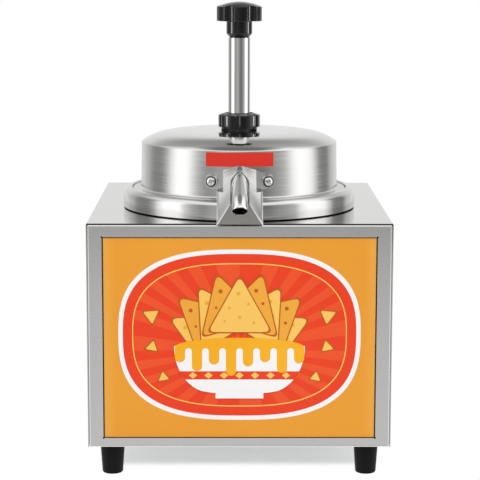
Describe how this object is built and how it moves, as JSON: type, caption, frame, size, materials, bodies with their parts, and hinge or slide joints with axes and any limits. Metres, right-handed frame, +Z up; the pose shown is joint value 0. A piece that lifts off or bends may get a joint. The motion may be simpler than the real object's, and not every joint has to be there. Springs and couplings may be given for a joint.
{
  "type": "countertop cheese warmer",
  "caption": "Countertop cheese warmer: steel cabinet with a front sign window, a lift-out pot in a heated well, and a lid with a hand pump and a forward spout.",
  "frame": {"origin": "on the surface that the feet stand on, below the middle of the warmer", "axes": "+Z up, -Y towards the sign and the spout, +X to the right when the sign is faced"},
  "size_m": [0.254, 0.3077, 0.3959],
  "materials": {
    "wrap_steel": "brushed stainless steel",
    "frame_steel": "brushed stainless steel, grain across",
    "collar_steel": "turned stainless steel",
    "lid_steel": "spun stainless steel",
    "guard_steel": "satin stainless steel",
    "pot_steel": "drawn stainless steel",
    "tube_steel": "polished stainless steel",
    "pump_steel": "machined stainless steel",
    "sign_print": "printed plastic sheet",
    "knob_plastic": "glossy black plastic",
    "control_plastic": "black plastic",
    "foot_rubber": "black rubber",
    "gasket_rubber": "dark rubber",
    "seal_rubber": "pale silicone",
    "zinc_steel": "zinc plated steel",
    "jacket_blanket": "glass fibre blanket",
    "heater_sheath": "oxidised heater sheath",
    "lamp_glass": "frosted glass",
    "pilot_lens": "red lens",
    "white_resin": "pale resin"
  },
  "bodies": {
    "cabinet": {"bottom_pan": "zinc_steel", "cabinet_wrap": "wrap_steel", "collar_gasket": "gasket_rubber", "collar_ring": "collar_steel", "cord_gland": "control_plastic", "foot_front_left": "foot_rubber", "foot_front_right": "foot_rubber", "foot_rear_left": "foot_rubber", "foot_rear_right": "foot_rubber", "front_frame": "frame_steel", "heater_clamp": "zinc_steel", "heater_ring": "heater_sheath", "indicator_lamp": "pilot_lens", "insulation_jacket": "jacket_blanket", "lamp_holder_left": "white_resin", "lamp_holder_right": "white_resin", "lamp_tray": "zinc_steel", "lamp_tube": "lamp_glass", "rear_panel": "wrap_steel", "sign_channel_left": "zinc_steel", "sign_channel_right": "zinc_steel", "sign_panel": "sign_print", "switch_housing": "control_plastic", "terminal_block": "white_resin", "thermostat_body": "white_resin", "well_bowl": "pot_steel"},
    "pot": {"food_pot": "pot_steel"},
    "lid": {"lid_shell": "lid_steel", "spout_guard": "guard_steel", "spout_screw_left": "pump_steel", "spout_screw_right": "pump_steel", "spout_tube": "tube_steel", "pump_barrel": "pump_steel", "valve_body": "pump_steel", "valve_foot": "white_resin", "inlet_ball": "pump_steel", "outlet_ball": "pump_steel", "guide_collar": "pump_steel", "guide_bush": "white_resin", "lid_washer": "gasket_rubber", "return_spring": "pump_steel"},
    "nut": {"lock_nut": "knob_plastic"},
    "plunger": {"plunger_tube": "tube_steel", "pump_knob": "knob_plastic", "piston": "white_resin", "piston_seal": "seal_rubber"},
    "dial": {"thermostat_knob": "control_plastic"},
    "rocker": {"switch_rocker": "control_plastic"}
  },
  "joints": [
    {"name": "pot_lift", "type": "slide", "parent": "cabinet", "child": "pot", "axis": [0, 0, 1], "range_m": [0, 0.16]},
    {"name": "lid_lift", "type": "slide", "parent": "pot", "child": "lid", "axis": [0, 0, 1], "range_m": [0, 0.16]},
    {"name": "nut_turn", "type": "hinge", "parent": "lid", "child": "nut", "pos_m": [0, -0.02245, 0.2846], "axis": [0, 0, 1], "range_deg": [0, 360]},
    {"name": "plunger_press", "type": "slide", "parent": "lid", "child": "plunger", "axis": [0, 0, -1], "range_m": [0, 0.06], "stiffness_N_per_m": 200, "springref_m": -0.045, "deforming": ["return_spring"]},
    {"name": "dial_turn", "type": "hinge", "parent": "cabinet", "child": "dial", "pos_m": [0.055, 0.135, 0.1254], "axis": [0, 1, 0], "range_deg": [-270, 0]},
    {"name": "rocker_tilt", "type": "hinge", "parent": "cabinet", "child": "rocker", "pos_m": [-0.06, 0.1349, 0.1254], "axis": [1, 0, 0], "range_deg": [-24, 0]}
  ]
}
